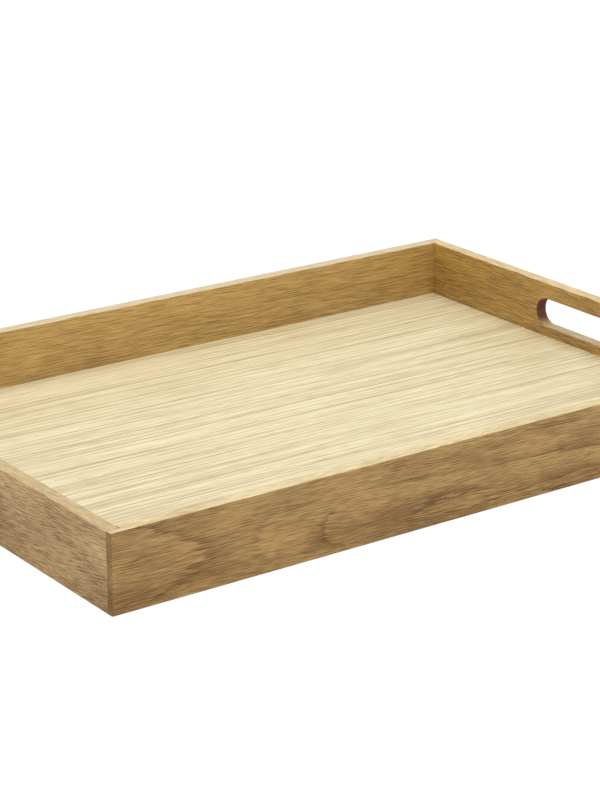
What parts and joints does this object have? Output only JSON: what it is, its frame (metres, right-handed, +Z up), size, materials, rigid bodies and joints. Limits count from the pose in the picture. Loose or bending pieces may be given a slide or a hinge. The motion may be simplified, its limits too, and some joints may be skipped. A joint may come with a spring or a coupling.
{
  "type": "serving tray",
  "caption": "Rectangular oak serving tray with board walls rebated and glued at the corners, a hand slot through each short wall and a veneered floor panel held in a groove.",
  "frame": {"origin": "centre of the tray's footprint, on the surface the wall boards stand on", "axes": "+X along the tray's length towards the right hand slot, +Y across it towards the back wall, +Z up"},
  "size_m": [0.52, 0.36, 0.051],
  "materials": {
    "oak_board": "satin",
    "face_veneer": "satin",
    "back_veneer": "matte",
    "core_board": "matte"
  },
  "bodies": {
    "root": {"front_wall": "oak_board", "back_wall": "oak_board", "left_wall": "oak_board", "right_wall": "oak_board", "base_core": "core_board", "base_face_veneer": "face_veneer", "base_back_veneer": "back_veneer"}
  },
  "joints": []
}
